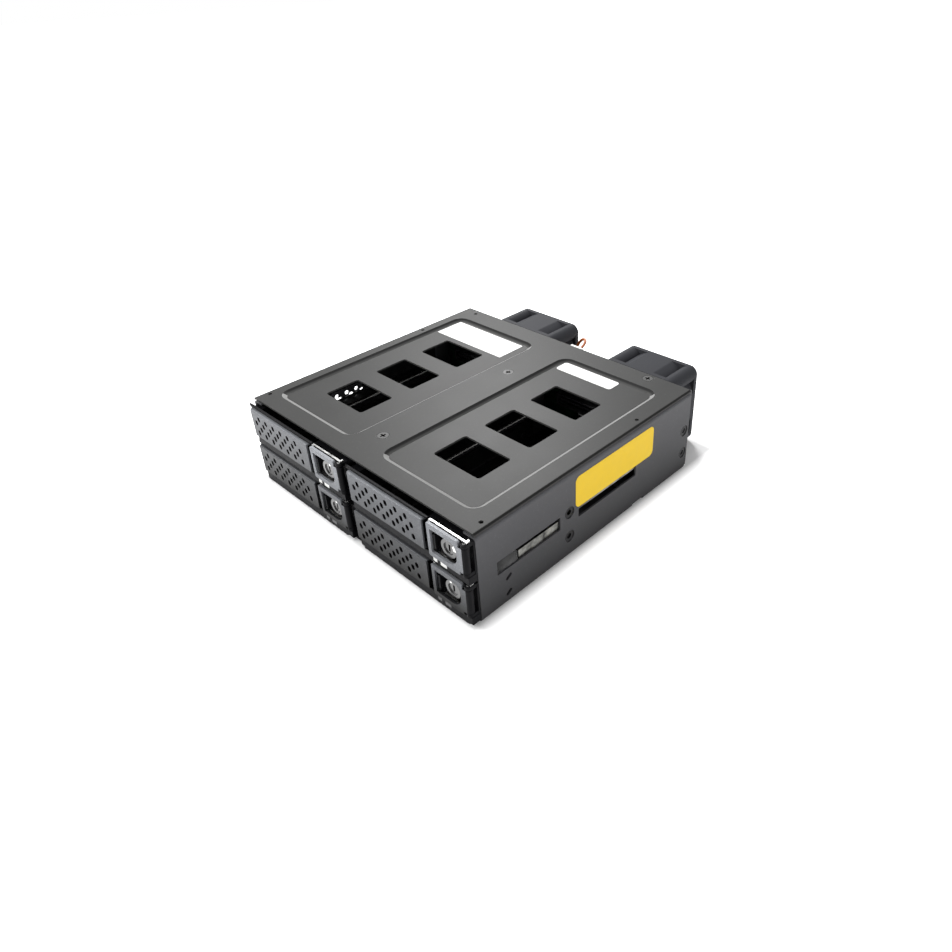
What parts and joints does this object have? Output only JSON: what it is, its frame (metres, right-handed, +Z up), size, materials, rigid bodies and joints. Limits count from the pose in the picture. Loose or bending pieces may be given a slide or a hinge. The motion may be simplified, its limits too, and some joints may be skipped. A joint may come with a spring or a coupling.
{
  "type": "hot swap drive cage",
  "caption": "Black steel drive cage for one 5.25 inch bay: hot swap trays for 2.5 inch drives with hinged levers and key locks, windowed cover, and fans on a rear bracket.",
  "frame": {"origin": "on the underside, below the middle of the whole object", "axes": "+X to the right seen from the trays' front, +Y from the trays towards the fans, +Z up through the windowed cover"},
  "size_m": [0.146, 0.1582, 0.0413],
  "materials": {
    "black_steel": "black powder coat, fine texture, satin",
    "bare_steel": "zinc plated sheet, dull",
    "bright_steel": "bare sheet, bright edges",
    "board": "solder mask",
    "connector": "moulded",
    "screw_steel": "zinc plated",
    "screw_black": "black oxide",
    "fan_plastic": "moulded, satin",
    "white_plastic": "moulded",
    "lead_sleeve": "insulated wires",
    "white_paper": "bare paper label",
    "yellow_film": "bare film label",
    "black_plastic": "moulded, fine texture",
    "grey_panel": "dark grey metallic paint",
    "grey_plastic": "dark grey metallic paint",
    "lock_chrome": "polished"
  },
  "bodies": {
    "cage": {"cage_base": "black_steel", "top_cover": "black_steel", "centre_divider": "black_steel", "side_rails": "bare_steel", "centre_rails": "black_steel", "rear_bracket": "black_steel", "backplane_board": "board", "drive_sockets": "connector", "data_ports": "connector", "power_ports": "connector", "board_screws": "screw_steel", "fan_screws": "screw_steel", "cover_screws": "screw_black", "fan_left_frame": "fan_plastic", "fan_right_frame": "fan_plastic", "fan_header": "white_plastic", "fan_plug": "white_plastic", "fan_lead": "lead_sleeve", "white_labels": "white_paper", "side_label": "yellow_film", "fan_left_motor_mount": "fan_plastic", "fan_right_motor_mount": "fan_plastic"},
    "fan_left_spinner": {"fan_left_rotor": "fan_plastic"},
    "fan_right_spinner": {"fan_right_rotor": "fan_plastic"},
    "lower_left_tray": {"lower_left_sled": "bare_steel", "lower_left_bezel": "black_plastic", "lower_left_grille": "grey_panel", "lower_left_lever_pin": "bright_steel", "lower_left_light_pipes": "white_plastic"},
    "lower_left_lever_body": {"lower_left_lever": "grey_plastic", "lower_left_lever_plate": "bright_steel"},
    "lower_left_catch_body": {"lower_left_catch": "grey_plastic"},
    "lower_left_lock_body": {"lower_left_lock": "lock_chrome"},
    "upper_left_tray": {"upper_left_sled": "bare_steel", "upper_left_bezel": "black_plastic", "upper_left_grille": "grey_panel", "upper_left_lever_pin": "bright_steel", "upper_left_light_pipes": "white_plastic"},
    "upper_left_lever_body": {"upper_left_lever": "grey_plastic", "upper_left_lever_plate": "bright_steel"},
    "upper_left_catch_body": {"upper_left_catch": "grey_plastic"},
    "upper_left_lock_body": {"upper_left_lock": "lock_chrome"},
    "lower_right_tray": {"lower_right_sled": "bare_steel", "lower_right_bezel": "black_plastic", "lower_right_grille": "grey_panel", "lower_right_lever_pin": "bright_steel", "lower_right_light_pipes": "white_plastic"},
    "lower_right_lever_body": {"lower_right_lever": "grey_plastic", "lower_right_lever_plate": "bright_steel"},
    "lower_right_catch_body": {"lower_right_catch": "grey_plastic"},
    "lower_right_lock_body": {"lower_right_lock": "lock_chrome"},
    "upper_right_tray": {"upper_right_sled": "bare_steel", "upper_right_bezel": "black_plastic", "upper_right_grille": "grey_panel", "upper_right_lever_pin": "bright_steel", "upper_right_light_pipes": "white_plastic"},
    "upper_right_lever_body": {"upper_right_lever": "grey_plastic", "upper_right_lever_plate": "bright_steel"},
    "upper_right_catch_body": {"upper_right_catch": "grey_plastic"},
    "upper_right_lock_body": {"upper_right_lock": "lock_chrome"}
  },
  "joints": [
    {"name": "fan_left_spin", "type": "hinge", "parent": "cage", "child": "fan_left_spinner", "pos_m": [-0.03105, 0.0677, 0.0207], "axis": [0, 1, 0], "continuous": true},
    {"name": "fan_right_spin", "type": "hinge", "parent": "cage", "child": "fan_right_spinner", "pos_m": [0.04235, 0.0677, 0.0207], "axis": [0, 1, 0], "continuous": true},
    {"name": "lower_left_tray_slide", "type": "slide", "parent": "cage", "child": "lower_left_tray", "axis": [0, -1, 0], "range_m": [0, 0.13]},
    {"name": "lower_left_lever_hinge", "type": "hinge", "parent": "lower_left_tray", "child": "lower_left_lever_body", "pos_m": [-0.00225, -0.0775, 0.0124], "axis": [0, 0, 1], "range_deg": [0, 75]},
    {"name": "lower_left_catch_slide", "type": "slide", "parent": "lower_left_lever_body", "child": "lower_left_catch_body", "axis": [1, 0, 0], "range_m": [0, 0.0018], "stiffness_N_per_m": 300, "springref_m": -0.001},
    {"name": "lower_left_lock_turn", "type": "hinge", "parent": "lower_left_tray", "child": "lower_left_lock_body", "pos_m": [-0.01095, -0.0741, 0.0124], "axis": [0, 1, 0], "range_deg": [0, 90]},
    {"name": "upper_left_tray_slide", "type": "slide", "parent": "cage", "child": "upper_left_tray", "axis": [0, -1, 0], "range_m": [0, 0.13]},
    {"name": "upper_left_lever_hinge", "type": "hinge", "parent": "upper_left_tray", "child": "upper_left_lever_body", "pos_m": [-0.00225, -0.0775, 0.0317], "axis": [0, 0, 1], "range_deg": [0, 75]},
    {"name": "upper_left_catch_slide", "type": "slide", "parent": "upper_left_lever_body", "child": "upper_left_catch_body", "axis": [1, 0, 0], "range_m": [0, 0.0018], "stiffness_N_per_m": 300, "springref_m": -0.001},
    {"name": "upper_left_lock_turn", "type": "hinge", "parent": "upper_left_tray", "child": "upper_left_lock_body", "pos_m": [-0.01095, -0.0741, 0.0317], "axis": [0, 1, 0], "range_deg": [0, 90]},
    {"name": "lower_right_tray_slide", "type": "slide", "parent": "cage", "child": "lower_right_tray", "axis": [0, -1, 0], "range_m": [0, 0.13]},
    {"name": "lower_right_lever_hinge", "type": "hinge", "parent": "lower_right_tray", "child": "lower_right_lever_body", "pos_m": [0.07115, -0.0775, 0.0124], "axis": [0, 0, 1], "range_deg": [0, 75]},
    {"name": "lower_right_catch_slide", "type": "slide", "parent": "lower_right_lever_body", "child": "lower_right_catch_body", "axis": [1, 0, 0], "range_m": [0, 0.0018], "stiffness_N_per_m": 300, "springref_m": -0.001},
    {"name": "lower_right_lock_turn", "type": "hinge", "parent": "lower_right_tray", "child": "lower_right_lock_body", "pos_m": [0.06245, -0.0741, 0.0124], "axis": [0, 1, 0], "range_deg": [0, 90]},
    {"name": "upper_right_tray_slide", "type": "slide", "parent": "cage", "child": "upper_right_tray", "axis": [0, -1, 0], "range_m": [0, 0.13]},
    {"name": "upper_right_lever_hinge", "type": "hinge", "parent": "upper_right_tray", "child": "upper_right_lever_body", "pos_m": [0.07115, -0.0775, 0.0317], "axis": [0, 0, 1], "range_deg": [0, 75]},
    {"name": "upper_right_catch_slide", "type": "slide", "parent": "upper_right_lever_body", "child": "upper_right_catch_body", "axis": [1, 0, 0], "range_m": [0, 0.0018], "stiffness_N_per_m": 300, "springref_m": -0.001},
    {"name": "upper_right_lock_turn", "type": "hinge", "parent": "upper_right_tray", "child": "upper_right_lock_body", "pos_m": [0.06245, -0.0741, 0.0317], "axis": [0, 1, 0], "range_deg": [0, 90]}
  ]
}
